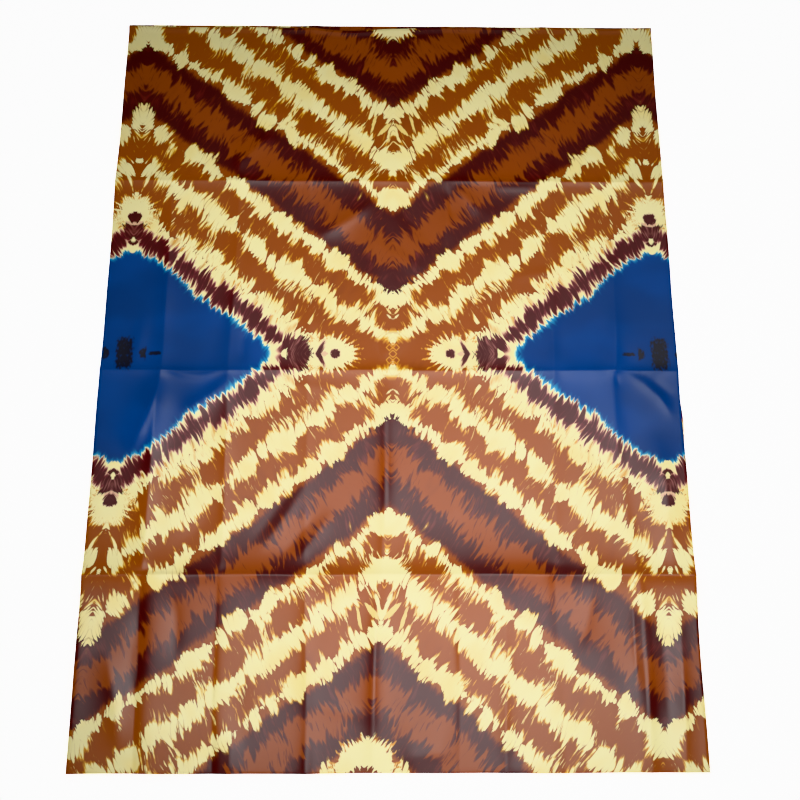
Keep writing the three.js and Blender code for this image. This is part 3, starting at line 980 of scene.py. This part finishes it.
    # The first plum band stands on cream, spiked on both sides, with pink in its notches.
    first = out + sway * FIRST_PLUM_SWAY
    on_cream = FIRST_PLUM_END - first + teeth * 0.02
    print_colour = blend(print_colour, cream, on_cream.ramp(-0.001, 0.001))
    flecks = (dashes + waves * 0.3 + fine_teeth * 0.2).ramp(0.1, 0.6) * first.ramp(0.262, 0.276)
    fleck_tint = blend(AMBER, RED_BROWN, first.ramp(0.305, 0.275) * 0.6)
    print_colour = blend(print_colour, fleck_tint, flecks * on_cream.ramp(-0.001, 0.006) * 0.9)
    jag_depth = FIRST_PLUM_HALF - abs(first - FIRST_PLUM) + worked(marks, FIRST_PLUM_JAGS)
    print_colour = blend(print_colour, PINK, jag_depth.ramp(-0.0065, 0.0000) * 0.85)
    print_colour = blend(print_colour, MAROON, jag_depth.ramp(-0.0030, 0.0045))
    core = jag_depth.ramp(0.000, 0.016) - stained(marks, CORE_WORN) * 0.45
    print_colour = blend(print_colour, PLUM, core.ramp(0.0, 1.0) * 0.92)

    # Blue diamonds, where the dye thinned to teal at the ends of its spikes.
    trimmed = deepest([first, from_crossing + TIP_CUT, rounded(axis, TIP_ROUND) + first - axis])
    blue_depth = BLUE_EDGE - trimmed + worked(marks, BLUE_JAGS)
    thinned = (BLUE_EDGE - trimmed + worked(marks, BLUE_THINNING)).ramp(0.014, -0.002)
    halo = blue_depth.ramp(0.0160, 0.0010) * (thinned * 0.85 + 0.15)
    print_colour = blend(print_colour, PALE_TEAL, blue_depth.ramp(-0.0035, 0.0) * (thinned * 0.8))
    blue = blend(BLUE, DEEP_BLUE, tone.ramp(-1.0, 1.0))
    blue = blend(blue, TEAL, halo)
    print_colour = blend(print_colour, blue, blue_depth.ramp(-0.0016, 0.0026))

    # The marks on the mirror axes.
    ragged = worked(marks, TIP_JAGS)
    dyes = dict(
        cream=cream,
        plum=blend(PLUM, MAROON, stained(marks, TIP_WORN)),
        core=blend(PLUM, blend(MAROON, PINK, 0.25), stained(marks, TIP_STREAKED)),
        pink=blend(PINK, CREAM, 0.35),
        yellow=blend(YELLOW, CREAM, 0.4),
        brown=blend(RUST, RED_BROWN, 0.5),
        band=band,
    )
    axes = [
        (SIDE_TIP, from_side, from_crossing),
        (CROSSING_TIP, from_crossing, from_side),
        (MIDDLE_MARKS, inward, from_crossing),
        (SIDE_END, from_side, from_crossing),
    ]
    for table, aside, onward in axes:
        for mark in table:
            inside = spot(aside, onward, mark)
            small = min(mark["long"], mark["wide"])
            depth = inside + ragged * min(RAGGED_AT_MOST, small / TIP_RAGGED)
            if small > RAYED_FROM:
                turn = Field.math("ARCTAN2", aside, onward - mark["at"])
                rays = mottle(turn, inside, *RAYS)
                depth = depth + rays * RAY_REACH
                ray_depth = depth + rays * RAY_AMBER
                print_colour = blend(print_colour, AMBER, ray_depth.ramp(-0.005, 0.0))
            if mark["dye"] == "plum":
                print_colour = blend(print_colour, PINK, depth.ramp(-0.0022, 0.0) * 0.7)
                print_colour = blend(print_colour, MAROON, depth.ramp(-0.0008, 0.0012))
            print_colour = blend(print_colour, dyes[mark["dye"]], depth.ramp(-0.0006, 0.0016))

    # A knot of amber rings where the four bands cross.
    for ring in RINGS:
        round_it = abs(inward - ring["aside"]) / ring["wide"]
        round_it = round_it + abs(from_crossing - ring["up"]) / ring["tall"]
        off_line = abs(round_it - 1.0 + waves * RING_UNEVEN) * (ring["wide"] * 0.75)
        print_colour = blend(print_colour, AMBER, (RING_HALF - off_line).ramp(-0.0006, 0.0004))

    # The dark blots, one of them waisted and one flared, with feathered rims.
    for blot in BLOTS:
        aside = (from_side - blot["aside"]) / blot["half_width"]
        upward = from_crossing / blot["half_height"]
        narrowed = abs(aside) + (1.0 - upward * upward) * blot["waist"]
        topped = upward + (1.0 - aside) * blot["flare"]
        bounds = Field.math("POWER", narrowed, BLOT_SQUARE)
        bounds = bounds + Field.math("POWER", topped, BLOT_SQUARE)
        blot_depth = 1.0 - bounds + feather * 0.45 + waves * 0.15
        print_colour = blend(print_colour, BLOT_AND_EDGE_SHADOW, blot_depth.ramp(-0.7, 0.7) * 0.88)

    # Painted shadow: a dark line along the raw cut edge, standing in for the shade under the lifted
    # edge.
    painted_edge_shadow = (PAINTED_EDGE_SHADOW_WIDTH - along + worked(marks, PAINTED_EDGE_SHADOW_UNEVEN)).ramp(-0.0008, 0.0008)
    print_colour = blend(print_colour, BLOT_AND_EDGE_SHADOW, painted_edge_shadow * 0.9)
    Field.tree.links.new(print_colour.socket, shader.inputs["Base Color"])

    # The glaze lies thinner over the heavy blue dye, and is rubbed a little unevenly all over.
    gloss = GLOSS - blue_depth.ramp(-0.004, 0.006) * BLUE_GLOSS_LOSS + tone * GLOSS_UNEVEN
    dullness = DULLNESS + tone * DULLNESS_UNEVEN + feather * (DULLNESS_UNEVEN * 0.5)
    Field.tree.links.new(dullness.socket, shader.inputs["Roughness"])
    Field.tree.links.new(gloss.socket, shader.inputs["Specular IOR Level"])
    yarns = 2 * math.pi / WEAVE
    weave = Field.math("SINE", across * yarns) * Field.math("SINE", along * yarns)
    inputs = {"Height": weave, "Strength": 1.0, "Distance": WEAVE_DEPTH}
    woven = Field.node("ShaderNodeBump", inputs)
    Field.tree.links.new(woven.outputs["Normal"], shader.inputs["Normal"])
    return finish


glazed = glazed_print()
upper.data.materials.append(glazed)
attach(upper, "root")
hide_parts("top_layer")


# ---- The two lower lengths ------------------------------------------------------------------
# The middle and last thirds of the same cloth. They are one run of it, turned at the far fold,
# which shows past the upper length's cut edge. The bottom length lies on the floor.

# How far their selvedges lie inside the upper length's, where they peep out past the right one,
# how high the bottom length lies and how much of the creases it takes, and where the two end.
SELVEDGE_STEP = 0.001
PEEP = dict(y=-0.125, out=0.0032, spread=0.042)
BOTTOM_LEVEL = 0.0004
BOTTOM_LIFT = 0.5
MIDDLE_END = 0.0145
BOTTOM_END = 0.0095
LOWER_COLUMN_STEPS = (0.0045, 0.0140)
LOWER_ROW_STEPS = (0.0045, 0.0140)
FAR_FOLD_WANDER = 0.0004


def lower_left(y):
    return left_selvedge(y) + SELVEDGE_STEP


def lower_right(y):
    peep = (PEEP["out"] + SELVEDGE_STEP) * np.exp(-(((y - PEEP["y"]) / PEEP["spread"]) ** 2))
    return right_selvedge(y) - SELVEDGE_STEP + peep


def far_fold(x):
    return HALF_LENGTH - FAR_FOLD_WANDER * (1 + wander(x, phase=3.3))


lower_columns = stations(-HALF_WIDTH, HALF_WIDTH, crease_columns, LOWER_COLUMN_STEPS)
lower_rows = stations(-HALF_LENGTH, HALF_LENGTH, crease_rows, LOWER_ROW_STEPS)
lower_radius = (MIDDLE_LEVEL - BOTTOM_LEVEL) / 2
lower_reach = lower_radius + THICKNESS / 2
up_rows = lower_rows[lower_rows < HALF_LENGTH - 2 * lower_reach]
bottom_rows = up_rows[up_rows > -HALF_LENGTH + BOTTOM_END + EDGE_ROUND]
middle_rows = up_rows[up_rows > -HALF_LENGTH + MIDDLE_END + EDGE_ROUND][::-1]
bottom_start = -HALF_LENGTH + BOTTOM_END + np.array([0.0, EDGE_ROUND])
middle_end = -HALF_LENGTH + MIDDLE_END + np.array([EDGE_ROUND, 0.0])
bottom_y = np.concatenate([bottom_start, bottom_rows])
middle_y = np.concatenate([middle_rows, middle_end])
fold_y = far_fold(lower_columns)[None, :] - lower_reach + lower_radius * np.sin(turns)[:, None]

flat_shape = (1, len(lower_columns))
lower_y = np.concatenate(
    [
        np.tile(bottom_y[:, None], flat_shape),
        fold_y,
        np.tile(middle_y[:, None], flat_shape),
    ]
)
lower_turned = np.concatenate(
    [np.zeros(len(bottom_y)), turns, np.full(len(middle_y), math.pi)]
)[:, None]
lower_x = np.broadcast_to(lower_columns, lower_y.shape).copy()
lower_x[:, 0] = lower_left(lower_y[:, 0])
lower_x[:, 1] = lower_left(lower_y[:, 1]) + EDGE_ROUND
lower_x[:, -2] = lower_right(lower_y[:, -2]) - EDGE_ROUND
lower_x[:, -1] = lower_right(lower_y[:, -1])
climb = (1 - np.cos(lower_turned)) / 2
lift = BOTTOM_LIFT + (1 - BOTTOM_LIFT) * climb
lower_z = BOTTOM_LEVEL + (MIDDLE_LEVEL - BOTTOM_LEVEL) * climb + lift * fold_rise(lower_x, lower_y)
lower_out = np.stack(
    np.broadcast_arrays(np.zeros(1), np.sin(lower_turned), -np.cos(lower_turned), lower_z)[:3],
    axis=-1,
)
lower_from_cut = np.where(
    lower_turned < math.pi / 2,
    CLOTH_LENGTH - (lower_y + HALF_LENGTH),
    LAID_LENGTH + lower_y + HALF_LENGTH,
)
lower = shell(
    "lower_lengths",
    np.stack([lower_x, lower_y, lower_z], axis=-1),
    lower_out,
    np.stack([lower_x, lower_from_cut], axis=-1),
    np.ones(len(lower_y), bool),
)
lower.data.materials.append(glazed)
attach(lower, "root")
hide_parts("hidden_layers")
